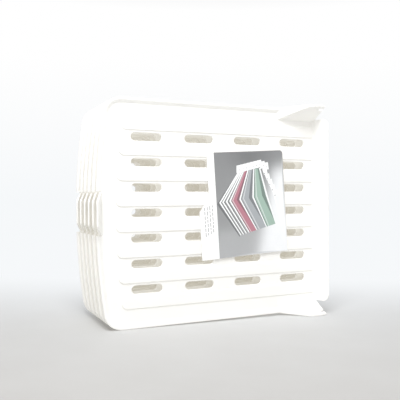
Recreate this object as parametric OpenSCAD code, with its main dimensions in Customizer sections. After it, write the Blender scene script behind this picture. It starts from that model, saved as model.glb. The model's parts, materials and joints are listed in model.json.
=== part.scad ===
// Stack of shallow folding-board trays for shirts, pivoted at the back so that it opens like a book.
// The stack stands on its long side. A tray is drawn lying flat, with its front edge at x = 0,
// its width along y and its underside at z = 0, and stand() then turns it up on its side.

/* [Board] */
// Width of a tray from side to side
board_w = 248; // [240:1:256]
// Thickness of the board
board_t = 2; // [1.6:0.1:2.4]
// Radius of the bowed front edge
front_r = 720; // [600:10:1200]
// Radius of the two front corners
corner_r = 20; // [16:1:24]

/* [Rim] */
// Height of the rim above the board
rim_h = 2.5; // [1.5:0.1:3]
// Width of the flat top of the rim
rim_land = 2.5; // [1.5:0.1:3]
// Width of the slope from the rim's top down to the board
rim_slope = 3.7; // [2:0.1:4.5]

/* [Slots and ribs] */
// Slots from front to back
slot_columns = 4; // [2:1:4]
// Slots from side to side
slot_rows = 7; // [3:2:7]
// Distance between slot columns
column_pitch = 62.8; // [60:0.1:64]
// Distance between slot rows
row_pitch = 27.5; // [26:0.1:28]
// Front edge to the middle of the first slots
first_column = 56.5; // [54:0.5:60]
// Length of a slot
slot_l = 35.5; // [30:0.5:38]
// Width of a slot
slot_w = 9; // [6:0.5:10]
// Width of a rib
rib_w = 13; // [10:0.5:14]
// Height of a rib above the board
rib_h = 1; // [0.6:0.1:1.4]
// Front edge to the round ends of the ribs
rib_inset = 21; // [18:1:26]

/* [Back wall] */
// Height of the back wall above the underside
wall_h = 24; // [22:0.5:24.5]
// Top outer edge of the back wall, from the front edge
wall_top_x = 284.4; // [283:0.2:288]
// Outward lean of the back wall, in degrees
wall_lean = 15; // [13:0.5:16]
// Thickness of the back wall and the ears
wall_t = 2; // [1.8:0.1:2.2]
// Length of the back wall along the width
wall_l = 224; // [216:1:226]
// Radius of the back wall's top corners
wall_corner_r = 9; // [4:0.5:12]
// Radius of the hollow between the board and the back wall
wall_fillet_r = 5; // [3:0.5:6]

/* [Ears] */
// Where the ears begin to rise, from the front edge
ear_start_x = 223; // [220:1:230]
// Rear end of the ears, from the front edge
ear_end_x = 277.6; // [277:0.1:278.5]
// Height of the ears above the underside
ear_h = 26; // [25:0.5:28]
// Distance between the creases that the two ears rise from
crease_w = 220; // [212:1:222]
// Outward lean of the ears' inner face, in degrees
ear_lean = 32; // [29:0.5:34]
// Width over the outer edges of the two ears
ear_span = 255; // [251:0.5:258]
// Slope of the ears' ramp, in degrees
ramp_angle = 36; // [32:1:42]
// Radius between the ramp and the level top of an ear
ramp_r = 28; // [16:1:32]
// Radius of the ears' outer rear corners
ear_tip_r = 3; // [1:0.5:5]

/* [Pivots] */
// Pivot line from the front edge
pivot_x = 273.5; // [272.5:0.1:274]
// Height of the pivot studs above a tray's underside
stud_z = 3.5; // [3:0.1:3.8]
// Radius of the pivot studs
stud_r = 2.2; // [1.6:0.1:2.2]
// Distance between the outer ends of the two studs
stud_span = 251.6; // [250:0.2:252]
// Radial clearance of a stud in its eye
eye_play = 0.05; // [0.02:0.01:0.1]
// Width of the snap mouth that runs from the eye out of the ear's rear edge
mouth_w = 3.2; // [2.4:0.1:3.4]

/* [Lip] */
// Height of the front lip above the underside
lip_h = 19; // [14:0.5:20]
// Outward lean of the lip, in degrees
lip_lean = 26; // [22:1:30]
// Foot of the lip's inner face, from the front edge
lip_foot_x = 6.5; // [6:0.5:8]
// Width of the lip at its foot
lip_foot_w = 47; // [40:1:54]
// Width of the lip at its tip
lip_tip_w = 27; // [20:1:34]

/* [Card] */
// Thickness of the display card
card_t = 0.5; // [0.3:0.1:0.8]
// Width of the printed part of the card
print_w = 93; // [85:1:100]
// Height of the card
card_h = 122; // [110:1:130]
// Width of the lower part of the card's white margin
margin_w = 22; // [16:1:26]
// Width of the upper part of the card's white margin
margin_top_w = 9; // [5:1:12]
// Turn of the card on the tray, in degrees
card_turn = 3.4; // [0:0.1:6]
// Diameter of a glue dot
dot_d = 10; // [6:1:12]
// Thickness of a glue dot
dot_t = 0.4; // [0.2:0.1:0.8]

/* [Stack] */
// Rise from one tray to the next
tray_pitch = 18; // [18:0.1:18.4]

/* [Hidden] */
TRAYS = 6;
$fn = 64;
PLASTIC = "white";
// A cut runs this far past the solid that it cuts.
PAST = 1;

half_w = board_w / 2;
half_crease = crease_w / 2;
half_ear = ear_span / 2;

// The corner arcs touch the bowed front edge from inside.
corner_y = half_w - corner_r;
corner_x = front_r - sqrt(pow(front_r - corner_r, 2) - pow(corner_y, 2));
bow_half_angle = asin(corner_y / (front_r - corner_r));

// Back wall, from its top outer edge down to the board
wall_run = wall_h * tan(wall_lean);
wall_flat_t = wall_t / cos(wall_lean);
wall_foot_x = wall_top_x - wall_run - wall_flat_t + board_t * tan(wall_lean);
fillet_start_x = wall_foot_x - wall_fillet_r * tan((90 - wall_lean) / 2);

// Height of the eyes, where the next tray's studs lie
eye_z = tray_pitch + stud_z;
eye_r = stud_r + eye_play;

// Top of the ear's round shoulder, where the ramp's arc ends
shoulder_x = ear_start_x + (ear_h - board_t) / tan(ramp_angle) + ramp_r * tan(ramp_angle / 2);

// The ears reach their full width this far before the end of the ramp's arc.
flare_short = 9.3;

// The stack leans back on the ears' lower edges and the front corners.
lean_run = shoulder_x - corner_x;
lean_rise = half_ear - corner_y;
stack_tilt = atan2(lean_rise, lean_run) - asin(corner_r / norm([lean_run, lean_rise]));

// Overall box of the standing stack
stack_t = (TRAYS - 1) * tray_pitch + ear_h;
lip_tip_x = lip_foot_x - (lip_h - board_t) * tan(lip_lean) - wall_t / cos(lip_lean);
low_x = lip_tip_x * cos(stack_tilt) - lip_tip_w / 2 * sin(stack_tilt);
high_x = wall_top_x * cos(stack_tilt) + (wall_l / 2 - wall_corner_r) * sin(stack_tilt);
low_z = corner_x * sin(stack_tilt) - corner_y * cos(stack_tilt) - corner_r;

// Top left corner of the card's printed part, on the front tray
card_x = 136.8;
card_y = 67.7;
card_z = board_t + rib_h + dot_t;
card_corner_r = 4;
// Heights at which the white margin starts and ends its step, as shares of the card's height
step_top = 0.42;
step_foot = 0.55;
// Places of the glue dots along the tray, and their ribs counted in row pitches from the middle
dot_columns = [155, 212];
dot_ribs = [-1.5, 1.5];

// Turns a flat tray at a given place in the stack up on its long side.
module stand(level = 1) {
    translate([-(low_x + high_x) / 2, stack_t / 2, -low_z])
        rotate([0, -stack_tilt, 0])
            rotate([90, 0, 0])
                translate([0, 0, (level - 1) * tray_pitch])
                    children();
}

// Does the same on both sides of a tray.
module both_sides() {
    children();
    mirror([0, 1, 0]) children();
}

// Draws a 2D shape in the x-z plane and gives it a thickness from y0 to y1.
module along_y(y0, y1) {
    translate([0, y1, 0])
        rotate([90, 0, 0])
            linear_extrude(y1 - y0)
                children();
}

// Plan of the board, full width as far as the ears and narrower between them
module board_plan() {
    ray = 2 * corner_r;
    intersection() {
        translate([front_r, 0]) circle(front_r, $fn = 256);
        polygon([
            [corner_x, corner_y],
            [corner_x - ray * cos(bow_half_angle), corner_y + ray * sin(bow_half_angle)],
            [corner_x - ray * cos(bow_half_angle), -corner_y - ray * sin(bow_half_angle)],
            [corner_x, -corner_y]
        ]);
    }
    both_sides() translate([corner_x, corner_y]) circle(corner_r);
    translate([corner_x, -half_w]) square([ear_start_x - corner_x, board_w]);
    translate([corner_x, -half_crease - board_t / 2])
        square([wall_foot_x + wall_flat_t / 2 - corner_x, crease_w + board_t]);
}

// Half section of the rim, with its outer side at the given radius
module rim_section(radius) {
    polygon([
        [radius, 0],
        [radius, board_t + rim_h],
        [radius - rim_land, board_t + rim_h],
        [radius - rim_land - rim_slope, board_t],
        [radius - rim_land - rim_slope, 0]
    ]);
}

// Rim along the front, round the corners and along the sides to the ears
module rim() {
    both_sides() {
        translate([front_r, 0, 0])
            rotate([0, 0, 180 - bow_half_angle])
                rotate_extrude(angle = bow_half_angle, $fn = 256)
                    rim_section(front_r);
        translate([corner_x, corner_y, 0])
            rotate([0, 0, 90])
                rotate_extrude(angle = 90 - bow_half_angle)
                    rim_section(corner_r);
        translate([corner_x, corner_y, 0])
            rotate([90, 0, 90])
                linear_extrude(ear_start_x - corner_x)
                    rim_section(corner_r);
    }
}

// One rib with a round front end, which follows the bow of the front edge
module rib(y) {
    end_x = rib_inset + rib_w / 2 + front_r - sqrt(pow(front_r, 2) - pow(y, 2));
    translate([end_x, y, 0]) {
        cylinder(h = board_t + rib_h, r = rib_w / 2);
        translate([0, -rib_w / 2, 0]) cube([wall_foot_x - end_x, rib_w, board_t + rib_h]);
    }
}

// Eight ribs, with the slot rows in the gaps between them
module ribs() {
    for (i = [0 : slot_rows])
        rib((i - slot_rows / 2) * row_pitch);
}

// One air slot with round ends
module slot() {
    reach = (slot_l - slot_w) / 2;
    translate([0, 0, -PAST])
        linear_extrude(board_t + rib_h + 2 * PAST) {
            square([2 * reach, slot_w], center = true);
            for (side = [-1, 1])
                translate([side * reach, 0]) circle(slot_w / 2);
        }
}

// All the air slots
module slots() {
    for (column = [0 : slot_columns - 1], row = [0 : slot_rows - 1])
        translate([first_column + column * column_pitch, (row - (slot_rows - 1) / 2) * row_pitch, 0])
            slot();
}

// Back wall with round top corners, joined to the board by a hollow fillet
module back_wall() {
    reach = wall_l / 2 - wall_corner_r;
    intersection() {
        along_y(-wall_l / 2, wall_l / 2) {
            polygon([
                [wall_top_x - wall_run - wall_flat_t, 0],
                [wall_top_x - wall_run, 0],
                [wall_top_x, wall_h],
                [wall_top_x - wall_flat_t, wall_h]
            ]);
            difference() {
                polygon([
                    [fillet_start_x, 0],
                    [wall_foot_x + wall_t / 2, 0],
                    [wall_foot_x + wall_fillet_r * tan(wall_lean), board_t + wall_fillet_r],
                    [fillet_start_x, board_t + wall_fillet_r]
                ]);
                translate([fillet_start_x, board_t + wall_fillet_r]) circle(wall_fillet_r);
            }
        }
        rotate([90, 0, 90])
            linear_extrude(wall_top_x + PAST) {
                translate([-wall_l / 2, 0]) square([wall_l, wall_h - wall_corner_r]);
                translate([-reach, 0]) square([2 * reach, wall_h]);
                for (side = [-1, 1])
                    translate([side * reach, wall_h - wall_corner_r]) circle(wall_corner_r);
            }
    }
}

// Side view of an ear, drawn in by a given distance from its ramp and its top
module ear_side(inset = 0) {
    ramp_x = ear_start_x + inset / sin(ramp_angle);
    arc_r = ramp_r - inset;
    arc_z = ear_h - ramp_r;
    arc_foot = [shoulder_x - arc_r * sin(ramp_angle), arc_z + arc_r * cos(ramp_angle)];
    polygon([
        [ramp_x - board_t / tan(ramp_angle), 0],
        arc_foot,
        [shoulder_x, arc_z + arc_r],
        [ear_end_x + (inset > 0 ? PAST : 0), arc_z + arc_r],
        [ear_end_x + (inset > 0 ? PAST : 0), 0]
    ]);
    intersection() {
        translate([shoulder_x, arc_z]) circle(arc_r, $fn = 128);
        polygon([
            [shoulder_x, arc_z],
            [shoulder_x - 2 * arc_r * sin(ramp_angle), arc_z + 2 * arc_r * cos(ramp_angle)],
            [shoulder_x, arc_z + 2 * arc_r]
        ]);
    }
}

// Space outboard of the ear's inner face, moved out by a given distance
module outboard(offset_out = 0) {
    block = 4 * ear_h;
    translate([ear_start_x - ear_h, half_crease, board_t])
        rotate([-ear_lean, 0, 0])
            translate([0, offset_out, -block / 2])
                cube(block);
}

// Plan of an ear's ramp and top, which flare out beyond the side of the board
module ear_plan() {
    polygon([
        [ear_start_x - board_t / tan(ramp_angle), 0],
        [ear_start_x - board_t / tan(ramp_angle), half_w],
        [ear_start_x, half_w],
        [shoulder_x - flare_short, half_ear],
        [ear_end_x - ear_tip_r, half_ear],
        [ear_end_x, half_ear - ear_tip_r],
        [ear_end_x, 0]
    ]);
}

// One ear: a leaning inner face and, on top of it, a ramp that grows out of the board's side
module ear() {
    intersection() {
        along_y(0, half_ear + PAST) difference() {
            ear_side();
            ear_side(wall_t);
        }
        linear_extrude(ear_h + PAST) ear_plan();
        outboard();
    }
    difference() {
        intersection() {
            along_y(0, half_ear) ear_side();
            linear_extrude(ear_h + PAST) ear_plan();
            outboard();
        }
        outboard(wall_t);
        eye();
    }
}

// Snap eye for the next tray's stud: a round hole with a mouth to the rear edge
module eye() {
    translate([pivot_x, half_ear + PAST, eye_z])
        rotate([90, 0, 0])
            cylinder(h = half_ear - half_crease, r = eye_r);
    translate([pivot_x, half_crease + PAST, eye_z - mouth_w / 2])
        cube([ear_end_x - pivot_x + PAST, half_ear - half_crease, mouth_w]);
}

// Pivot stud, which stands out of the foot of the ear and stays clear of its inner face
module stud() {
    intersection() {
        translate([pivot_x, stud_span / 2, stud_z])
            rotate([90, 0, 0])
                cylinder(h = stud_span / 2 - half_crease + board_t, r = stud_r);
        outboard();
    }
}

// Opening in the front edge that the lip stands in
module lip_bay() {
    translate([-PAST, -lip_foot_w / 2, -PAST])
        cube([lip_foot_x + PAST - board_t / 2, lip_foot_w, board_t + rim_h + 2 * PAST]);
    translate([0, -lip_foot_w / 2, board_t])
        cube([rim_land + rim_slope + PAST, lip_foot_w, rim_h + PAST]);
}

// Front lip: a leaning tongue with slanted ends, used to lift the tray
module lip() {
    top_x = lip_foot_x - (lip_h - board_t) * tan(lip_lean);
    under_x = lip_foot_x + board_t * tan(lip_lean);
    flat_t = wall_t / cos(lip_lean);
    intersection() {
        along_y(-lip_foot_w / 2, lip_foot_w / 2)
            polygon([
                [under_x, 0],
                [under_x - flat_t, 0],
                [top_x - flat_t, lip_h],
                [top_x, lip_h]
            ]);
        rotate([90, 0, 90])
            translate([0, 0, lip_tip_x - PAST])
                linear_extrude(lip_foot_x - lip_tip_x + 2 * PAST)
                    polygon([
                        [-lip_foot_w / 2, 0],
                        [lip_foot_w / 2, 0],
                        [lip_foot_w / 2, board_t],
                        [lip_tip_w / 2, lip_h],
                        [-lip_tip_w / 2, lip_h],
                        [-lip_foot_w / 2, board_t]
                    ]);
    }
}

// One moulded tray, lying flat
module flat_tray() {
    difference() {
        union() {
            linear_extrude(board_t) board_plan();
            rim();
            ribs();
        }
        slots();
        lip_bay();
    }
    back_wall();
    lip();
    both_sides() {
        ear();
        stud();
    }
}

// One tray of the stack, counted from the rear
module tray(level) {
    color(PLASTIC) stand(level) flat_tray();
}

// Display card, held on the ribs of the front tray
module display_card() {
    color("gainsboro") stand(TRAYS)
        translate([card_x, card_y, card_z])
            rotate([0, 0, card_turn])
                linear_extrude(card_t)
                    difference() {
                        polygon([
                            [-margin_top_w, 0],
                            [print_w, 0],
                            [print_w, -card_h],
                            [-margin_w, -card_h],
                            [-margin_w, -card_h * step_foot],
                            [-margin_top_w, -card_h * step_top]
                        ]);
                        translate([print_w - card_corner_r, -card_corner_r])
                            difference() {
                                square(card_corner_r + PAST);
                                circle(card_corner_r);
                            }
                    }
}

// Glue dots between the ribs and the card
module card_glue_dots() {
    color("whitesmoke") stand(TRAYS)
        for (x = dot_columns, rib = dot_ribs)
            translate([x, rib * row_pitch, board_t + rib_h])
                cylinder(h = dot_t, d = dot_d);
}

for (level = [1 : TRAYS])
    tray(level);
display_card();
card_glue_dots();
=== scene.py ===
import math

import bmesh
import bpy
from mathutils import Matrix, Vector
from mathutils.geometry import delaunay_2d_cdt
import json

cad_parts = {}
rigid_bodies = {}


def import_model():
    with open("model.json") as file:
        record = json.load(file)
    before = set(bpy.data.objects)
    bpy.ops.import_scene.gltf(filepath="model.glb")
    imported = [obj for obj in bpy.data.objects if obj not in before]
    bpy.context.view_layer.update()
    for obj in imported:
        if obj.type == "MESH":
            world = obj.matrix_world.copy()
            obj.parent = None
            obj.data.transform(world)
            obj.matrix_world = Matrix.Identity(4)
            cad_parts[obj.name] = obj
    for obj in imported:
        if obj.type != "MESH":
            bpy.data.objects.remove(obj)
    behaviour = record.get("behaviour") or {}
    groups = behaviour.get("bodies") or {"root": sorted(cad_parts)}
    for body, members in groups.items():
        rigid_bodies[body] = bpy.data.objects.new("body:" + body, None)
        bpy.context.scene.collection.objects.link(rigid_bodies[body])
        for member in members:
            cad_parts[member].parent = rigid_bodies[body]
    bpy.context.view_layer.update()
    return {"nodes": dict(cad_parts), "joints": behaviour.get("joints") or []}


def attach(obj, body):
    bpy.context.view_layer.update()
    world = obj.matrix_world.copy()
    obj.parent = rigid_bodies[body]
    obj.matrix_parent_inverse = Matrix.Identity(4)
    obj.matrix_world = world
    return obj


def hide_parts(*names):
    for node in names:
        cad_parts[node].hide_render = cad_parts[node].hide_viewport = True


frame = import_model()

# ---- White trays -------------------------------------------------------------
# Six identical shallow trays for folded shirts, each one injection moulding in
# white polypropylene with a satin skin. Sizes are in millimetres, in the
# tray's own lying frame: x from its front edge, y across and z up.

MM = 0.001
BOARD_W, BOARD_T = 248.0, 2.0
FRONT_R, CORNER_R = 720.0, 20.0
RIM_TOP, RIM_END_X = 4.5, 226.0
COLUMN_X, COLUMN_PITCH, ROW_PITCH = 56.5, 62.8, 27.5
SLOT_L, SLOT_W = 35.5, 9.0
RIB_W, RIB_H, RIB_FRONT = 13.0, 1.0, 21.0
WALL_LEAN, WALL_H, WALL_L, WALL_T = 15.0, 24.0, 224.0, 2.0
WALL_FOOT_X, WALL_CORNER_R, WALL_HOLLOW_R = 276.44, 9.0, 5.0
CREASE_Y, EAR_LEAN, EAR_H = 110.0, 32.0, 26.0
EAR_START_X, EAR_END_X, EAR_OUT_Y = 223.0, 277.6, 127.5
RAMP_ANGLE, RAMP_R, EAR_TIP_R, FLARE_SHORT = 36.0, 28.0, 3.0, 9.3
PIVOT_X, STUD_Z, STUD_R, STUD_END_Y = 273.5, 3.5, 2.2, 125.8
EYE_R, MOUTH_W = 2.25, 3.2
TRAY_PITCH = 18.0
LIP_LEAN, LIP_H, LIP_FOOT_X, LIP_FOOT_W, LIP_TIP_W, LIP_HOLLOW_R = 26.0, 19.0, 6.5, 47.0, 27.0, 3.0
HALF_W = BOARD_W / 2
CORNER_Y = HALF_W - CORNER_R
CORNER_X = FRONT_R - math.sqrt((FRONT_R - CORNER_R) ** 2 - CORNER_Y**2)
BOW = math.degrees(math.asin(CORNER_Y / (FRONT_R - CORNER_R)))


def sin(degrees):
    return math.sin(math.radians(degrees))


def cos(degrees):
    return math.cos(math.radians(degrees))


def tan(degrees):
    return math.tan(math.radians(degrees))


def arc(centre, radius, start, end, steps):
    """Points along a round stretch, from one angle to another in degrees."""
    turns = [start + (end - start) * i / steps for i in range(steps + 1)]
    return [(centre[0] + radius * cos(a), centre[1] + radius * sin(a)) for a in turns]


def rim_line(inset, end_x):
    """Line that keeps a distance from the board's edge, from one ear round the front to the other."""
    half = (
        arc((FRONT_R, 0), FRONT_R - inset, 180, 180 - BOW, 10)[1:-1]
        + arc((CORNER_X, CORNER_Y), CORNER_R - inset, 180 - BOW, 90, 10)
        + [(end_x, HALF_W - inset)]
    )
    return [(x, -y) for x, y in reversed(half)] + [(inset, 0.0)] + half


def rib_line(y, inset, end_x):
    """Outline of a rib, drawn in by inset, with its round end following the bow of the front."""
    radius = RIB_W / 2 - inset
    centre_x = RIB_FRONT + RIB_W / 2 + FRONT_R - math.sqrt(FRONT_R**2 - y**2)
    return arc((centre_x, y), radius, 90, 270, 12) + [(end_x, y - radius), (end_x, y + radius)]


def slot_line(column, row, growth):
    """Outline of an air slot with round ends, drawn out by growth."""
    x, y = COLUMN_X + column * COLUMN_PITCH, (row - 3) * ROW_PITCH
    reach, radius = (SLOT_L - SLOT_W) / 2, SLOT_W / 2 + growth
    return arc((x + reach, y), radius, -90, 90, 9) + arc((x - reach, y), radius, 90, 270, 9)


def at_height(points, z):
    return [(x, y, z) for x, y in points]


def in_polygon(point, polygon):
    inside = False
    for (x0, y0), (x1, y1) in zip(polygon, polygon[1:] + polygon[:1]):
        if (y0 > point[1]) != (y1 > point[1]):
            inside ^= point[0] < x0 + (point[1] - y0) * (x1 - x0) / (y1 - y0)
    return inside


def in_slot(x, y):
    column = min(max(round((x - COLUMN_X) / COLUMN_PITCH), 0), 3)
    row = min(max(round(y / ROW_PITCH) + 3, 0), 6)
    return in_polygon((x, y), slot_line(column, row, 0.0))


def skin_of(outline, lines):
    """One side of the board: triangles inside the outline, clear of the slots, through every line."""
    points, edges = [], []
    for line in lines:
        first, count = len(points), len(line)
        points += line
        edges += [(first + i, first + (i + 1) % count) for i in range(count)]
    flat = [Vector(p[:2]) for p in points]
    made, _, faces, origin, _, _ = delaunay_2d_cdt(flat, edges, [], 0, 1e-6)
    place = {}
    for i, sources in enumerate(origin):
        for source in sources:
            place[source] = i
    solid = [(p.x, p.y, points[origin[i][0]][2]) for i, p in enumerate(made)]
    kept = []
    for face in faces:
        x = sum(made[i].x for i in face) / 3
        y = sum(made[i].y for i in face) / 3
        if in_polygon((x, y), outline) and not in_slot(x, y):
            kept.append(tuple(face))
    return solid, kept, place


# Distance in from the edge and height, over the rim's rounded top and down its inner slope
RIM_SECTION = [
    (0.0, 3.7), (0.1, 4.1), (0.35, 4.39), (0.8, 4.5), (2.2, 4.5), (2.6, 4.4), (2.95, 4.18),
    (5.6, 2.37), (6.1, 2.11), (6.7, 2.0), (7.1, 2.0),
]
# Distance out of a rib's edge and height, up its soft side
RIB_SECTION = [
    (-0.9, 2.0), (-0.45, 2.0), (-0.15, 2.1), (0.0, 2.3), (0.1, 2.7), (0.28, 2.92), (0.6, 3.0), (1.0, 3.0),
]
# Distance out of a slot's edge and height, over its rounded mouth
SLOT_SECTION = [(0.0, 1.5), (0.07, 1.77), (0.25, 1.94), (0.55, 2.0), (0.9, 2.0)]
# Distance in from the edge and height, over the rounded lower edge
UNDER_SECTION = [(0.0, 0.5), (0.12, 0.18), (0.5, 0.0)]
# Hollow under the rim: distances in from the edge of its two sides, and height
HOLLOW_SECTION = [(1.5, 5.2, 0.0), (1.65, 5.05, 0.3), (2.0, 4.2, 2.1), (2.3, 3.9, 2.3)]
# Hollow under a rib: distance in from its edge, and height
RIB_HOLLOW_SECTION = [(1.3, 0.0), (1.5, 0.15), (2.1, 0.95), (2.4, 1.0)]
# Rounding of the edges of the wall and the ears, and how far joined parts run into each other
SOFT_EDGE_R, LIP_EDGE_R, OVERLAP = 0.9, 0.85, 0.6


def board():
    """Closed mesh of the board with its rim, ribs and slots, and hollows under the rim and the ribs."""
    step_y, back_x = CREASE_Y + BOARD_T / 2, WALL_FOOT_X + 1.0
    slots = [(column, row) for column in range(4) for row in range(7)]
    rib_rows = [(i - 3.5) * ROW_PITCH for i in range(8)]
    outer = rim_line(0.0, RIM_END_X)
    rear = [(RIM_END_X, step_y), (back_x, step_y), (back_x, -step_y), (RIM_END_X, -step_y)]
    steps = [(RIM_END_X, HALF_W - inset, z) for inset, z in RIM_SECTION[1:]]
    edge = at_height(outer, RIM_SECTION[0][1]) + steps + at_height(rear, BOARD_T)
    edge += [(x, -y, z) for x, y, z in reversed(steps)]
    top = [edge] + [
        at_height(slot_line(*slot, growth), z) for slot in slots for growth, z in SLOT_SECTION
    ]
    outline = [p[:2] for p in edge]
    rib_end = WALL_FOOT_X - 0.8
    top += [at_height(rib_line(y, inset, rib_end), z) for y in rib_rows for inset, z in RIB_SECTION]
    open_lines = [at_height(rim_line(inset, RIM_END_X), z) for inset, z in RIM_SECTION[1:]]
    # A rim line ends on the outline and closes on itself along the way it came.
    top += [line + line[-2:0:-1] for line in open_lines]

    under = [at_height(outline, UNDER_SECTION[0][1])] + [
        at_height(slot_line(*slot, growth), z) for slot in slots for growth, z in UNDER_SECTION
    ]
    under += [at_height(rim_line(inset, RIM_END_X - inset), z) + at_height(
        [(RIM_END_X - inset, step_y - inset), (back_x - inset, step_y - inset),
         (back_x - inset, inset - step_y), (RIM_END_X - inset, inset - step_y)], z)
        for inset, z in UNDER_SECTION[1:]]
    for near, far, z in HOLLOW_SECTION:
        end_x = RIM_END_X - 1.5 - near
        inner = rim_line(far, end_x)
        under.append(at_height(rim_line(near, end_x) + inner[::-1], z))
    for inset, z in RIB_HOLLOW_SECTION:
        under += [at_height(rib_line(y, inset, rib_end - 6 - inset), z) for y in rib_rows]

    top_points, top_faces, top_place = skin_of(outline, top)
    low_points, low_faces, low_place = skin_of(outline, under)
    shift = len(top_points)
    faces = top_faces + [tuple(i + shift for i in reversed(face)) for face in low_faces]

    def side(first_top, first_low, count):
        for i in range(count):
            j = (i + 1) % count
            faces.append(
                (
                    top_place[first_top + j],
                    top_place[first_top + i],
                    low_place[first_low + i] + shift,
                    low_place[first_low + j] + shift,
                )
            )

    side(0, 0, len(edge))
    count = len(slot_line(0, 0, 0.0))
    for k in range(len(slots)):
        side(
            len(edge) + k * len(SLOT_SECTION) * count,
            len(edge) + k * len(UNDER_SECTION) * count,
            count,
        )
    return top_points + low_points, faces


def drawn_in(outline, distance):
    """A convex outline's points, each moved in square to the two sides that meet there."""
    moved = []
    for i, (x, y) in enumerate(outline):
        x0, y0 = outline[i - 1]
        x1, y1 = outline[(i + 1) % len(outline)]
        a = Vector((y0 - y, x - x0)).normalized()
        b = Vector((y - y1, x1 - x)).normalized()
        half = a + b
        half *= distance / max(half.length_squared / 2, 0.2)
        moved.append((x + half.x, y + half.y))
    return moved


def stacked(rings):
    """Closed mesh through rings with the same number of points."""
    count = len(rings[0])
    points = [p for ring in rings for p in ring]
    faces = []
    for k in range(len(rings) - 1):
        for i in range(count):
            j = (i + 1) % count
            faces.append((k * count + i, k * count + j, (k + 1) * count + j, (k + 1) * count + i))
    faces.append(tuple(range(count))[::-1])
    faces.append(tuple((len(rings) - 1) * count + i for i in range(count)))
    return points, faces


def soft_plate(outline, thickness, edge_r, place):
    """Plate with rounded edges. place turns (s, t, depth below the face) into a point of the tray."""
    profile = [(edge_r * (1 - sin(a)), edge_r * (1 - cos(a))) for a in (0, 22.5, 45, 67.5, 90)]
    profile += [(inset, thickness - depth) for inset, depth in reversed(profile)]
    rings = [[place(s, t, depth) for s, t in drawn_in(outline, inset)] for inset, depth in profile]
    return stacked(rings)


def rounded_polygon(corners, radii, steps=6):
    """Convex outline, anticlockwise, whose corners are rounded with one radius each."""
    points = []
    for i, (x, y) in enumerate(corners):
        before = Vector(corners[i - 1]) - Vector((x, y))
        after = Vector(corners[(i + 1) % len(corners)]) - Vector((x, y))
        before.normalize()
        after.normalize()
        middle = (before + after).normalized()
        half = before.angle(after) / 2
        centre = Vector((x, y)) + middle * (radii[i] / math.sin(half))
        first = Vector((x, y)) + before * (radii[i] / math.tan(half)) - centre
        turn = math.degrees(math.pi - 2 * half)
        angle = math.degrees(math.atan2(first.y, first.x))
        points += arc(centre, radii[i], angle, angle + turn, steps)
    return points


def prism(section, y0, y1):
    """Section in x and z, drawn out along the tray's width."""
    return stacked([[(x, y, z) for x, z in section] for y in (y0, y1)])


def hollow(foot_x, lean, radius, side, length):
    """Fillet between the board and a leaning plate. Its side is 1 for the wall and -1 for the lip."""
    turn = 90 - lean
    start_x = foot_x - side * radius * tan(turn / 2)
    centre_z = BOARD_T + radius
    curve = [
        (start_x + side * radius * sin(a), centre_z - radius * cos(a)) for a in range(0, int(turn) + 1, 5)
    ]
    inside = side * OVERLAP
    section = [(start_x, BOARD_T - OVERLAP)] + curve
    section += [(curve[-1][0] + inside, curve[-1][1]), (foot_x + inside, BOARD_T - OVERLAP)]
    if side < 0:
        section.reverse()
    return prism(section, -length / 2, length / 2)


def back_wall():
    def place(s, t, depth):
        return (
            WALL_FOOT_X + t * sin(WALL_LEAN) + depth * cos(WALL_LEAN),
            -s,
            BOARD_T + t * cos(WALL_LEAN) - depth * sin(WALL_LEAN),
        )

    low = (0.55 - BOARD_T) / cos(WALL_LEAN)
    high = (WALL_H - BOARD_T) / cos(WALL_LEAN)
    half = WALL_L / 2
    corners = [(-half, low), (half, low), (half, high), (-half, high)]
    radii = [SOFT_EDGE_R, SOFT_EDGE_R, WALL_CORNER_R, WALL_CORNER_R]
    return soft_plate(rounded_polygon(corners, radii), WALL_T, SOFT_EDGE_R, place)


def lip():
    def place(s, t, depth):
        return (
            LIP_FOOT_X - t * sin(LIP_LEAN) - depth * cos(LIP_LEAN),
            s,
            BOARD_T + t * cos(LIP_LEAN) - depth * sin(LIP_LEAN),
        )

    low = (0.9 - BOARD_T) / cos(LIP_LEAN)
    high = (LIP_H - BOARD_T) / cos(LIP_LEAN)
    foot, tip = LIP_FOOT_W / 2, LIP_TIP_W / 2
    corners = [(-foot, low), (foot, low), (foot, 0.0), (tip, high), (-tip, high), (-foot, 0.0)]
    radii = [SOFT_EDGE_R, SOFT_EDGE_R, 1.5, 3.0, 3.0, 1.5]
    return soft_plate(rounded_polygon(corners, radii), WALL_T, LIP_EDGE_R, place)


def ear_path():
    """Stations along an ear's ramp and top: x, z and slope in degrees."""
    shoulder_x = EAR_START_X + (EAR_H - BOARD_T) / tan(RAMP_ANGLE) + RAMP_R * tan(RAMP_ANGLE / 2)
    path = [(EAR_START_X - 0.2, BOARD_T - 0.2 * tan(RAMP_ANGLE), RAMP_ANGLE)]
    for i in range(9):
        slope = RAMP_ANGLE * (1 - i / 8)
        path.append((shoulder_x - RAMP_R * sin(slope), EAR_H - RAMP_R * (1 - cos(slope)), slope))
    tip_x = EAR_END_X - EAR_TIP_R
    path.append((tip_x, EAR_H, 0.0))
    path += [(tip_x + EAR_TIP_R * sin(a), EAR_H, 0.0) for a in (20, 40, 60, 80)]
    return path, shoulder_x


def ear_side_y(x, shoulder_x):
    """How far out an ear reaches at x: it flares to full width, and its rear corner is round."""
    flare = (x - EAR_START_X) / (shoulder_x - FLARE_SHORT - EAR_START_X)
    y = HALF_W + (EAR_OUT_Y - HALF_W) * min(max(flare, 0.0), 1.0)
    past = max(x - (EAR_END_X - EAR_TIP_R), 0.0)
    return y - EAR_TIP_R + math.sqrt(EAR_TIP_R**2 - past**2)


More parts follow.
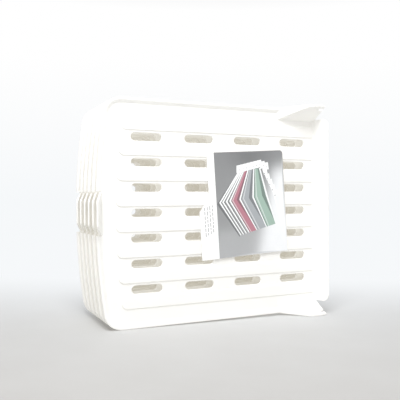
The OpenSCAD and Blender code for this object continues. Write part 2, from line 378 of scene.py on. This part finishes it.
def ear_roof():
    """The ramp and level top of an ear, which stand out over the side of the board."""
    path, shoulder_x = ear_path()
    rings = []
    for x, z, slope in path:
        out_y = ear_side_y(x, shoulder_x)
        section = [(None, 0.0)]
        section += [
            (out_y - SOFT_EDGE_R + SOFT_EDGE_R * sin(a), SOFT_EDGE_R * (1 - cos(a))) for a in (0, 30, 60, 90)
        ]
        section += [(y, WALL_T - depth) for y, depth in reversed(section[1:])]
        section.append((None, WALL_T))
        ring = []
        for y, depth in section:
            px, pz = x + depth * sin(slope), z - depth * cos(slope)
            if y is None:
                y = CREASE_Y + (pz - BOARD_T) * tan(EAR_LEAN) + SOFT_EDGE_R
            ring.append((px, y, pz))
        rings.append(ring)
    return stacked(rings)


def ear_face():
    """The leaning inner plate of an ear, from the crease in the board up to the roof."""
    path, _ = ear_path()
    outline = [(EAR_START_X - 0.8, 1.2), (EAR_END_X, 1.2), (EAR_END_X, EAR_H)]
    outline += [(x, z) for x, z, _ in reversed(path[:11])]
    outline = [(x, (z - BOARD_T) / cos(EAR_LEAN)) for x, z in outline]

    def place(s, t, depth):
        return (
            s,
            CREASE_Y + t * sin(EAR_LEAN) + depth * cos(EAR_LEAN),
            BOARD_T + t * cos(EAR_LEAN) - depth * sin(EAR_LEAN),
        )

    return soft_plate(outline, WALL_T, 0.5, place)


def stud():
    """Pivot stud with a chamfered end, which stands out of the foot of the ear."""
    rings = []
    for y, radius in ((None, STUD_R), (STUD_END_Y - 0.6, STUD_R), (STUD_END_Y, STUD_R - 0.6)):
        ring = []
        for x, z in arc((PIVOT_X, STUD_Z), radius, 0, 345, 23):
            base = CREASE_Y + (z - BOARD_T) * tan(EAR_LEAN) + OVERLAP
            ring.append((x, base if y is None else y, z))
        rings.append(ring)
    return stacked(rings)


def eye_cutter():
    """The round eye and its snap mouth, open to the rear edge of the ear."""
    z = STUD_Z + TRAY_PITCH
    mouth = math.degrees(math.asin(MOUTH_W / 2 / EYE_R))
    section = arc((PIVOT_X, z), EYE_R, mouth, 360 - mouth, 28)
    section += [(EAR_END_X + 2, z - MOUTH_W / 2), (EAR_END_X + 2, z + MOUTH_W / 2)]
    return prism(section, CREASE_Y + 4, EAR_OUT_Y + 3)


def bay_cutter():
    """The gap in the front rim that the lip stands in."""
    low = [(-2.0, -1.0), (LIP_FOOT_X - 1.6, -1.0), (LIP_FOOT_X - 1.6, BOARD_T), (7.2, BOARD_T)]
    return prism(low + [(7.2, RIM_TOP + 1), (-2.0, RIM_TOP + 1)], -LIP_FOOT_W / 2, LIP_FOOT_W / 2)


def mirrored(points, faces):
    return [(x, -y, z) for x, y, z in points], [face[::-1] for face in faces]


def solid_object(name, points, faces):
    mesh = bpy.data.meshes.new(name)
    mesh.from_pydata([(x * MM, y * MM, z * MM) for x, y, z in points], [], faces)
    form = bmesh.new()
    form.from_mesh(mesh)
    bmesh.ops.remove_doubles(form, verts=form.verts, dist=1e-8)
    bmesh.ops.recalc_face_normals(form, faces=form.faces)
    form.to_mesh(mesh)
    form.free()
    made = bpy.data.objects.new(name, mesh)
    bpy.context.scene.collection.objects.link(made)
    return made


def combine(body, tool, operation):
    """Joins a part to the body, or cuts it out, and removes the part."""
    modifier = body.modifiers.new(operation, "BOOLEAN")
    modifier.operation, modifier.solver, modifier.object = operation, "MANIFOLD", tool
    graph = bpy.context.evaluated_depsgraph_get()
    mesh = bpy.data.meshes.new_from_object(body.evaluated_get(graph))
    body.modifiers.clear()
    body.data = mesh
    bpy.data.objects.remove(tool)


def moulding():
    """One tray: every part of it joined into a single closed skin."""
    body = solid_object("tray", *board())
    combine(body, solid_object("bay", *bay_cutter()), "DIFFERENCE")
    parts = [back_wall(), lip()]
    parts.append(hollow(WALL_FOOT_X, WALL_LEAN, WALL_HOLLOW_R, 1, WALL_L - 2.4))
    parts.append(hollow(LIP_FOOT_X, LIP_LEAN, LIP_HOLLOW_R, -1, LIP_FOOT_W - 2.4))
    for part in (ear_face(), ear_roof(), stud()):
        parts += [part, mirrored(*part)]
    for part in parts:
        combine(body, solid_object("part", *part), "UNION")
    for part in (eye_cutter(), mirrored(*eye_cutter())):
        combine(body, solid_object("part", *part), "DIFFERENCE")
    return body


def new_group(name, inputs, outputs):
    group = bpy.data.node_groups.new(name, "ShaderNodeTree")
    for label, kind, value in inputs:
        socket = group.interface.new_socket(label, in_out="INPUT", socket_type=kind)
        socket.default_value = value
    for label, kind in outputs:
        group.interface.new_socket(label, in_out="OUTPUT", socket_type=kind)
    return group, group.nodes.new("NodeGroupInput"), group.nodes.new("NodeGroupOutput")


def noise(tree, vector, scale, detail, roughness=0.5):
    node = tree.nodes.new("ShaderNodeTexNoise")
    node.inputs["Scale"].default_value = scale
    node.inputs["Detail"].default_value = detail
    node.inputs["Roughness"].default_value = roughness
    tree.links.new(vector, node.inputs["Vector"])
    return node


def mapped(tree, value, start, end, low=0.0, high=1.0, kind="LINEAR"):
    """Maps the stretch from start to end onto low to high, and holds it beyond."""
    node = tree.nodes.new("ShaderNodeMapRange")
    node.interpolation_type = kind
    node.inputs["From Min"].default_value = start
    node.inputs["From Max"].default_value = end
    node.inputs["To Min"].default_value = low
    node.inputs["To Max"].default_value = high
    tree.links.new(value, node.inputs["Value"])
    return node.outputs["Result"]


def spread(tree, value, low, high):
    """Maps a noise's middle range onto low to high."""
    return mapped(tree, value, 0.3, 0.7, low, high)


def moulded_skin_group():
    """Slow flow marks in the shade of the plastic, a fine eroded grain and a few scuffs."""
    group, start, end = new_group(
        "moulded_skin",
        [("Grain per metre", "NodeSocketFloat", 2600.0), ("Flow per metre", "NodeSocketFloat", 9.0)],
        [("Flow", "NodeSocketFloat"), ("Scuffs", "NodeSocketFloat"), ("Height", "NodeSocketFloat")],
    )
    place = group.nodes.new("ShaderNodeTexCoord").outputs["Object"]
    flow = noise(group, place, 9.0, 3.0, 0.55)
    group.links.new(start.outputs["Flow per metre"], flow.inputs["Scale"])
    grain = noise(group, place, 2600.0, 2.0)
    group.links.new(start.outputs["Grain per metre"], grain.inputs["Scale"])
    scuffs = noise(group, place, 55.0, 6.0, 0.72)
    group.links.new(spread(group, flow.outputs["Fac"], 0.0, 1.0), end.inputs["Flow"])
    group.links.new(spread(group, scuffs.outputs["Fac"], 0.0, 1.0), end.inputs["Scuffs"])
    group.links.new(grain.outputs["Fac"], end.inputs["Height"])
    return group


def blend_colour(tree, factor, low, high):
    node = tree.nodes.new("ShaderNodeMix")
    node.data_type = "RGBA"
    node.inputs["A"].default_value = (*low, 1.0)
    node.inputs["B"].default_value = (*high, 1.0)
    tree.links.new(factor, node.inputs["Factor"])
    return node.outputs["Result"]


def tree_of(name):
    """A new material, its tree and its shader."""
    material = bpy.data.materials.new(name)
    material.use_nodes = True
    return material, material.node_tree, material.node_tree.nodes["Principled BSDF"]


def shown_between(tree, near, far, share):
    """Sends a mix of two shaders to the surface."""
    mix = tree.nodes.new("ShaderNodeMixShader")
    tree.links.new(near, mix.inputs[1])
    tree.links.new(far, mix.inputs[2])
    tree.links.new(mix.outputs["Shader"], tree.nodes["Material Output"].inputs["Surface"])
    if isinstance(share, float):
        mix.inputs["Fac"].default_value = share
    else:
        tree.links.new(share, mix.inputs["Fac"])


def white_polypropylene():
    """Satin white plastic that lets some light through, with a faint painted glow."""
    material, tree, shader = tree_of("white_polypropylene")
    skin = tree.nodes.new("ShaderNodeGroup")
    skin.node_tree = moulded_skin_group()
    shade = blend_colour(tree, skin.outputs["Flow"], (0.948, 0.951, 0.952), (0.965, 0.969, 0.971))
    tree.links.new(shade, shader.inputs["Base Color"])
    tree.links.new(spread(tree, skin.outputs["Scuffs"], 0.36, 0.46), shader.inputs["Roughness"])
    bump = tree.nodes.new("ShaderNodeBump")
    bump.inputs["Strength"].default_value = 0.12
    bump.inputs["Distance"].default_value = 0.00004
    tree.links.new(skin.outputs["Height"], bump.inputs["Height"])
    tree.links.new(bump.outputs["Normal"], shader.inputs["Normal"])
    shader.inputs["IOR"].default_value = 1.49
    # A faint warm painted glow, though the plastic is no lamp, stands in for the light scattered inside the
    # plastic and between the trays and lifts the slots and hollows. A faint fitted glow stands for the
    # light scattered inside the plastic and between the trays.
    shader.inputs["Emission Color"].default_value = (1.0, 0.91, 0.73, 1.0)
    shader.inputs["Emission Strength"].default_value = 0.105
    # Two millimetres of this plastic let a good part of the light through.
    through = tree.nodes.new("ShaderNodeBsdfTranslucent")
    through.inputs["Color"].default_value = (0.955, 0.955, 0.945, 1.0)
    shown_between(tree, shader.outputs["BSDF"], through.outputs["BSDF"], 0.30)
    return material


SLIVER_M, SHARP_ANGLE = 2e-7, 38
plastic = white_polypropylene()
mould = moulding()
form = bmesh.new()
form.from_mesh(mould.data)
bmesh.ops.dissolve_degenerate(form, edges=form.edges, dist=SLIVER_M)
form.to_mesh(mould.data)
form.free()
mould.data.materials.clear()
mould.data.materials.append(plastic)
for polygon in mould.data.polygons:
    polygon.use_smooth = True
mould.data.set_sharp_from_angle(angle=math.radians(SHARP_ANGLE))
weighted = mould.modifiers.new("weighted", "WEIGHTED_NORMAL")
weighted.keep_sharp = True
graph = bpy.context.evaluated_depsgraph_get()
tray_mesh = bpy.data.meshes.new_from_object(mould.evaluated_get(graph))
tray_mesh.name = "tray_moulding"
bpy.data.objects.remove(mould)


def lying_frame(pivot, axis):
    """Matrix from a tray's lying frame to the stack, from the line of the tray's own studs."""
    across = Vector(axis)
    up = Vector((0.0, -1.0, 0.0))
    along = across.cross(up)
    turn = Matrix((along, across, up)).transposed()
    origin = Vector(pivot) - turn @ Vector((PIVOT_X * MM, 0.0, STUD_Z * MM))
    return Matrix.Translation(origin) @ turn.to_4x4()


HINGES = {joint["child"]: joint for joint in frame["joints"]}
for name in sorted(n for n in frame["nodes"] if n.startswith("tray_")):
    hinge = HINGES.get(name)
    if hinge is None:
        hinge = next(joint for joint in frame["joints"] if joint["parent"] == name)
        pivot = Vector(hinge["pos_m"]) + Vector((0.0, TRAY_PITCH * MM, 0.0))
    else:
        pivot = Vector(hinge["pos_m"])
    mesh = tray_mesh.copy()
    mesh.transform(lying_frame(pivot, hinge["axis"]))
    piece = bpy.data.objects.new("moulded_" + name, mesh)
    bpy.context.scene.collection.objects.link(piece)
    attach(piece, name)
    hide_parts(name)

bpy.data.meshes.remove(tray_mesh)

# ---- Display card ------------------------------------------------------------
# A die-cut coated card with a glossy printed picture of such trays, fanned open
# around folded cloths, and a white margin with greyed lines of small print.
# It lies on the ribs of the front tray, held by four removable glue dots.

CARD_T, PRINT_W, CARD_H = 0.5, 93.0, 122.0
MARGIN_W, MARGIN_TOP_W, STEP_TOP, STEP_FOOT = 22.0, 9.0, 0.42, 0.55
CARD_X, CARD_Y, CARD_TURN, CARD_CORNER_R = 136.8, 67.7, 3.4, 4.0
DOT_T, DOT_D, DOT_COLUMNS, DOT_RIBS = 0.4, 10.0, (155.0, 212.0), (-1.5, 1.5)
CARD_Z = BOARD_T + RIB_H + DOT_T
WHITE, PAPER = (0.92, 0.93, 0.93), (0.97, 0.97, 0.965)
ROSE, DOVE, SAGE = (0.47, 0.20, 0.25), (0.38, 0.40, 0.42), (0.35, 0.48, 0.41)
SHADE, SMALL_PRINT_GREY = (0.05, 0.055, 0.06), (0.36, 0.365, 0.37)
# Where the eight leaves of the fan stand, from its first leaf to its last
FAN = (0.0, 0.06, 0.13, 0.20, 0.39, 0.63, 0.87, 1.0)
CLOTHS = {3: ROSE, 4: DOVE, 5: SAGE}


def on_print(u, v):
    """A place on the printed part, by its share of the width and of the height from the top."""
    return (u * PRINT_W, -v * CARD_H)


def leaf_points(t):
    """Start at the spine, knee and tip of the leaf that stands at t in the fan."""
    return (
        on_print(0.33 + 0.36 * t, 0.20 - 0.04 * t),
        on_print(0.05 + 0.79 * t - 0.10 * t * (1 - t), 0.475 - 0.05 * t),
        on_print(0.32 + 0.60 * t, 0.80 - 0.09 * t),
    )


def strip(points, widths):
    """Outline of a line of changing width."""
    left, right = [], []
    for i, point in enumerate(points):
        before, after = points[max(i - 1, 0)], points[min(i + 1, len(points) - 1)]
        along = (Vector(after) - Vector(before)).normalized()
        side = Vector((-along.y, along.x)) * widths[i] / 2
        left.append((point[0] + side.x, point[1] + side.y))
        right.append((point[0] - side.x, point[1] - side.y))
    return left + right[::-1]


def shifted(points, dx, dy):
    return [(x + dx, y + dy) for x, y in points]


def picture_shapes():
    """The picture's coloured shapes, from the rearmost to the foremost."""
    shapes = []
    leaves = [leaf_points(t) for t in FAN]
    shapes.append((strip(shifted(leaves[0], -1.6, -1.4), (1.0, 5.0, 1.0)), (0.16, 0.165, 0.17)))
    for i, cloth in CLOTHS.items():
        near, far = leaves[i], leaves[i + 1]
        shapes.append(([*near, *reversed(far)], cloth))
        fold = [((a[0] + 2 * b[0]) / 3, (a[1] + 2 * b[1]) / 3) for a, b in zip(near, far)]
        dark = [(0.45 * cloth[k] + 0.55 * SHADE[k]) for k in range(3)]
        shapes.append(([fold[0], fold[1], far[2], far[1], far[0]], tuple(dark)))
        hem = [((a[0] * 3 + b[0]) / 4, (a[1] * 3 + b[1]) / 4) for a, b in zip(near, far)]
        pale = [(0.55 * cloth[k] + 0.45 * WHITE[k]) for k in range(3)]
        shapes.append((strip(hem, (0.6, 1.5, 1.1)), tuple(pale)))
    for i, leaf in enumerate(leaves):
        if i < 6:
            shapes.append((strip(shifted(leaf, 1.3, 0.2), (0.5, 1.1, 0.5)), SHADE))
        shapes.append((strip(leaf, (1.7, 2.3, 1.2)), WHITE))
    for i in range(9):
        t = i / 8
        x, y = on_print(0.34 + 0.40 * t, 0.165 - 0.055 * t + 0.16 * max(t - 0.75, 0.0))
        block = [(x - 3.4, y - 4.5), (x + 3.8, y - 4.0), (x + 3.0, y + 4.6), (x - 2.8, y + 4.0)]
        nick = [(x + 0.6, y - 2.2), (x + 1.5, y - 1.0), (x + 1.2, y + 0.3)]
        shapes.append((block, WHITE))
        shapes.append((nick, (0.30, 0.31, 0.32)))
    for i in range(5):
        x, y = on_print(0.72 + 0.035 * i, 0.20 + 0.055 * i)
        block = [(x - 3.6, y + 2.4), (x + 2.4, y + 4.2), (x + 3.8, y - 3.0), (x - 1.4, y - 4.0)]
        nick = [(x - 1.8, y - 2.6), (x - 0.2, y - 3.3), (x + 0.2, y - 1.9)]
        shapes.append((block, WHITE))
        shapes.append((nick, (0.22, 0.23, 0.24)))
    return shapes


def small_print():
    """Greyed lines of print that run up the white margin."""
    bars = []
    for line in range(4):
        x, y = -5.2 - 3.3 * line, -60.0 - 0.8 * line
        for word in range(7):
            length = 2.6 + 1.9 * ((word * 5 + line * 3) % 4) / 3
            bars.append([(x, y), (x, y - length), (x - 0.9, y - length), (x - 0.9, y)])
            y -= length + 1.2
    return bars


def studio_grey(x, y):
    """The picture's own background: a grey studio wall that brightens towards the lower right."""
    u, v = x / PRINT_W, -y / CARD_H
    wall = 0.25 + 0.09 * v - 0.07 * math.exp(-(((u - 0.5) / 0.28) ** 2) - ((v - 0.04) / 0.12) ** 2)
    glow = 1 / (1 + math.exp(-(u * 1.25 + 0.42 * v - 1.13) / 0.055))
    glow *= 1 / (1 + math.exp(-(v - 0.17) / 0.035))
    floor = 0.10 / (1 + math.exp(-(v - 0.74) / 0.02)) * (1 - glow)
    tone = wall + floor + (0.90 - wall) * glow
    return (tone * 0.985, tone * 1.0, tone * 1.015)


def card_outline():
    corner = arc((PRINT_W - CARD_CORNER_R, -CARD_CORNER_R), CARD_CORNER_R, 0, 90, 8)
    left = [(-MARGIN_TOP_W, 0.0), (-MARGIN_TOP_W, -CARD_H * STEP_TOP), (-MARGIN_W, -CARD_H * STEP_FOOT)]
    return left + [(-MARGIN_W, -CARD_H), (0.0, -CARD_H), (PRINT_W, -CARD_H)] + corner + [(0.0, 0.0)]


def printed_card():
    """Closed mesh of the card, whose front is cut into the picture's shapes and coloured."""
    outline = card_outline()
    shapes = picture_shapes()
    bars = small_print()
    rows, columns = 24, 18
    lines = [outline, [(0.0, 0.0), (0.0, -CARD_H)]] + [shape for shape, _ in shapes] + bars
    lines += [
        [(PRINT_W * (column + 0.5) / columns, -CARD_H * (row + 0.5) / rows)]
        for row in range(rows) for column in range(columns)
    ]
    points, edges = [], []
    for line in lines:
        first, count = len(points), len(line)
        points += [Vector(p) for p in line]
        if count > 1:
            edges += [(first + i, first + (i + 1) % count) for i in range(count)]
    made, _, found, origin, _, _ = delaunay_2d_cdt(points, edges, [], 0, 1e-5)
    faces, colours = [], []
    for face in found:
        x = sum(made[i].x for i in face) / 3
        y = sum(made[i].y for i in face) / 3
        if not in_polygon((x, y), outline):
            continue
        colour = None
        for shape, paint in shapes:
            if x > 0 and in_polygon((x, y), shape):
                colour = paint
        if x <= 0:
            colour = PAPER
            if any(in_polygon((x, y), bar) for bar in bars):
                colour = SMALL_PRINT_GREY
        faces.append(tuple(face))
        colours.append([colour or studio_grey(made[i].x, made[i].y) for i in face])
    rim = [j for i in range(len(outline)) for j, sources in enumerate(origin) if i in sources]
    shift = len(made)
    depth = [(p.x, p.y, CARD_T) for p in made]
    depth += [(made[i].x, made[i].y, 0.0) for i in rim]
    back = [shift + k for k in range(len(rim))]
    faces.append(tuple(reversed(back)))
    colours.append([PAPER] * len(back))
    for k in range(len(rim)):
        j = (k + 1) % len(rim)
        faces.append((rim[j], rim[k], back[k], back[j]))
        colours.append([PAPER] * 4)
    return depth, faces, colours


def coated_print():
    """Glossy laminated print: a fine screen of dots and a faint unevenness in the gloss."""
    material, tree, shader = tree_of("coated_print")
    printed = tree.nodes.new("ShaderNodeAttribute")
    printed.attribute_name = "ink"
    ink = printed.outputs["Color"]
    place = tree.nodes.new("ShaderNodeTexCoord").outputs["Object"]
    screen = noise(tree, place, 3200.0, 1.0)
    mottle = noise(tree, place, 120.0, 3.0)
    for source, low, high in ((screen, 0.96, 1.02), (mottle, 0.985, 1.01)):
        tone = tree.nodes.new("ShaderNodeMix")
        tone.data_type, tone.blend_type = "RGBA", "MULTIPLY"
        tone.inputs["Factor"].default_value = 1.0
        tree.links.new(ink, tone.inputs["A"])
        tree.links.new(spread(tree, source.outputs["Fac"], low, high), tone.inputs["B"])
        ink = tone.outputs["Result"]
    tree.links.new(ink, shader.inputs["Base Color"])
    tree.links.new(spread(tree, mottle.outputs["Fac"], 0.30, 0.38), shader.inputs["Roughness"])
    shader.inputs["Coat Weight"].default_value = 0.5
    shader.inputs["Coat Roughness"].default_value = 0.12
    return material


def laid_on_front_tray(points):
    """Turns points of the card's own plane into place on the front tray."""
    turn = Matrix.Rotation(math.radians(CARD_TURN), 4, "Z")
    return [tuple(turn @ Vector(p) + Vector((CARD_X, CARD_Y, CARD_Z))) for p in points]


def set_on_stack(name, points, faces, matrix):
    mesh = bpy.data.meshes.new(name)
    mesh.from_pydata([(x * MM, y * MM, z * MM) for x, y, z in points], [], faces)
    mesh.transform(matrix)
    piece = bpy.data.objects.new(name, mesh)
    bpy.context.scene.collection.objects.link(piece)
    return piece


FRONT = "tray_6"
front_frame = lying_frame(Vector(HINGES[FRONT]["pos_m"]), HINGES[FRONT]["axis"])
card_points, card_faces, card_colours = printed_card()
card = set_on_stack("printed_display_card", laid_on_front_tray(card_points), card_faces, front_frame)
ink = card.data.attributes.new("ink", "FLOAT_COLOR", "CORNER")
flat = [(*colour, 1.0) for face in card_colours for colour in face]
ink.data.foreach_set("color", [value for colour in flat for value in colour])
card.data.materials.append(coated_print())
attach(card, FRONT)
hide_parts("display_card")

# ---- Glue dots ---------------------------------------------------------------
# Four soft clear glue dots, pressed flat between the ribs and the card, each
# with a bulging side. They peel off without a mark.


def glue_dot(x, y):
    """One squeezed dot, a lathe of its bulged side."""
    side = [(0.90, 0.0), (0.97, 0.12), (1.0, 0.35), (1.0, 0.65), (0.97, 0.88), (0.90, 1.0)]
    low = BOARD_T + RIB_H
    rings = [
        [(px, py, low + DOT_T * height) for px, py in arc((x, y), DOT_D / 2 * share, 0, 345, 23)]
        for share, height in side
    ]
    return stacked(rings)


def clear_glue():
    """Cloudy soft glue with small trapped bubbles."""
    material, tree, shader = tree_of("clear_glue")
    place = tree.nodes.new("ShaderNodeTexCoord").outputs["Object"]
    cloud = noise(tree, place, 900.0, 4.0, 0.6)
    clear = spread(tree, cloud.outputs["Fac"], 0.0, 1.0)
    shade = blend_colour(tree, clear, (0.80, 0.80, 0.77), (0.90, 0.90, 0.88))
    tree.links.new(shade, shader.inputs["Base Color"])
    tree.links.new(spread(tree, cloud.outputs["Fac"], 0.14, 0.30), shader.inputs["Roughness"])
    shader.inputs["Transmission Weight"].default_value = 0.35
    return material


dot_points, dot_faces = [], []
for column in DOT_COLUMNS:
    for rib in DOT_RIBS:
        points, faces = glue_dot(column, rib * ROW_PITCH)
        first = len(dot_points)
        dot_points += points
        dot_faces += [tuple(first + i for i in face) for face in faces]
dots = set_on_stack("glue_dots", dot_points, dot_faces, front_frame)
for polygon in dots.data.polygons:
    polygon.use_smooth = len(polygon.vertices) == 4
dots.data.materials.append(clear_glue())
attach(dots, FRONT)
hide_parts("card_glue_dots")

# ---- Floor and light ---------------------------------------------------------
# A pale warm-grey table that passes softly into a white room behind the stack,
# lit by the room all round and by one square softbox above and in front.

# Which way the trays are looked at, turned from straight back, and the room's tone low down
HEADING = math.radians(-25.137)
LOW_WALL = (0.922, 0.941, 0.957, 1.0)


def along_heading(tree, vector):
    """How far a place or a direction reaches away from the viewer's side of the stack."""
    node = tree.nodes.new("ShaderNodeVectorMath")
    node.operation = "DOT_PRODUCT"
    node.inputs[1].default_value = (-math.sin(HEADING), math.cos(HEADING), 0.0)
    tree.links.new(vector, node.inputs[0])
    return node.outputs["Value"]


def table_top():
    """Matt table, grey near the stack and fading to the white of the room behind it; its base colour carries
    a painted shade that darkens it towards the viewer's side.
    """
    mesh = bpy.data.meshes.new("table_top")
    mesh.from_pydata([(-9, -9, 0), (9, -9, 0), (9, 9, 0), (-9, 9, 0)], [], [(0, 1, 2, 3)])
    top = bpy.data.objects.new("table_top", mesh)
    bpy.context.scene.collection.objects.link(top)
    material, tree, shader = tree_of("table_grey")
    place = tree.nodes.new("ShaderNodeTexCoord").outputs["Object"]
    mottle = noise(tree, place, 14.0, 5.0, 0.6)
    shader.inputs["Roughness"].default_value = 0.65
    depth = along_heading(tree, place)
    # Random mottle plus painted shade: the base colour darkens towards the viewer's side as if less light
    # reached it.
    mottle_and_painted_falloff = tree.nodes.new("ShaderNodeMath")
    mottle_and_painted_falloff.operation = "MULTIPLY_ADD"
    tree.links.new(mottle.outputs["Fac"], mottle_and_painted_falloff.inputs[0])
    mottle_and_painted_falloff.inputs[1].default_value = 0.2
    tree.links.new(mapped(tree, depth, -0.35, 0.25), mottle_and_painted_falloff.inputs[2])
    shade = blend_colour(tree, mottle_and_painted_falloff.outputs["Value"], (0.408, 0.398, 0.384), (0.640, 0.650, 0.656))
    tree.links.new(shade, shader.inputs["Base Color"])
    span = tree.nodes.new("ShaderNodeVectorMath")
    span.operation = "LENGTH"
    tree.links.new(place, span.inputs[0])
    either = tree.nodes.new("ShaderNodeMath")
    either.operation = "MAXIMUM"
    tree.links.new(mapped(tree, depth, -0.12, 0.34, kind="SMOOTHSTEP"), either.inputs[0])
    tree.links.new(mapped(tree, span.outputs["Value"], 0.5, 1.4, kind="SMOOTHSTEP"), either.inputs[1])
    room = tree.nodes.new("ShaderNodeEmission")
    room.inputs["Color"].default_value = LOW_WALL
    shown_between(tree, shader.outputs["BSDF"], room.outputs["Emission"], either.outputs["Value"])
    mesh.materials.append(material)
    return top


def soft_light(name, place, aim, size, power, colour):
    lamp = bpy.data.lights.new(name, "AREA")
    lamp.shape = "RECTANGLE"
    lamp.size, lamp.size_y = size
    lamp.energy = power
    lamp.color = colour
    holder = bpy.data.objects.new(name, lamp)
    bpy.context.scene.collection.objects.link(holder)
    holder.location = place
    holder.rotation_euler = (Vector(aim) - Vector(place)).to_track_quat("-Z", "Y").to_euler()


def white_room():
    """White walls, a little cool low down and dimmer in front of the stack, under a greyer ceiling."""
    world = bpy.data.worlds.new("white_room")
    world.use_nodes = True
    tree = world.node_tree
    way = tree.nodes.new("ShaderNodeTexCoord")
    parts = tree.nodes.new("ShaderNodeSeparateXYZ")
    tree.links.new(way.outputs["Generated"], parts.inputs["Vector"])
    ramp = tree.nodes.new("ShaderNodeValToRGB")
    stops = ramp.color_ramp.elements
    stops[0].position = 0.0
    stops[0].color = LOW_WALL
    stops[1].position = 1.0
    stops[1].color = (0.45, 0.45, 0.45, 1.0)
    for height, tone in ((0.24, 1.0), (0.32, 1.0), (0.45, 0.66)):
        stop = stops.new(height)
        stop.color = (tone, tone, tone, 1.0)
    tree.links.new(parts.outputs["Z"], ramp.inputs["Fac"])
    tree.links.new(ramp.outputs["Color"], tree.nodes["Background"].inputs["Color"])
    facing = along_heading(tree, way.outputs["Generated"])
    wall = mapped(tree, facing, -0.3, 0.85, 0.82, 1.0)
    tree.links.new(wall, tree.nodes["Background"].inputs["Strength"])
    return world


table_top()
soft_light("front_softbox", (-0.36, -0.62, 1.10), (0.0, 0.0, 0.12), (0.5, 0.5), 15.0, (1.0, 1.0, 1.0))
bpy.context.scene.world = white_room()
bpy.context.scene.view_settings.view_transform = "Standard"

# ---- Camera ------------------------------------------------------------------
# Standing low in front of the stack, a little to the lip side, level with the
# middle of the trays and turned towards their open faces.

lens = bpy.data.cameras.new("camera")
lens.lens = 50.64
lens.sensor_width = 36.0
lens.clip_start, lens.clip_end = 0.01, 50.0
camera = bpy.data.objects.new("camera", lens)
bpy.context.scene.collection.objects.link(camera)
camera.location = (-0.2917, -0.6113, 0.1384)
camera.rotation_euler = (math.radians(90.05), math.radians(-0.434), HEADING)
bpy.context.scene.camera = camera
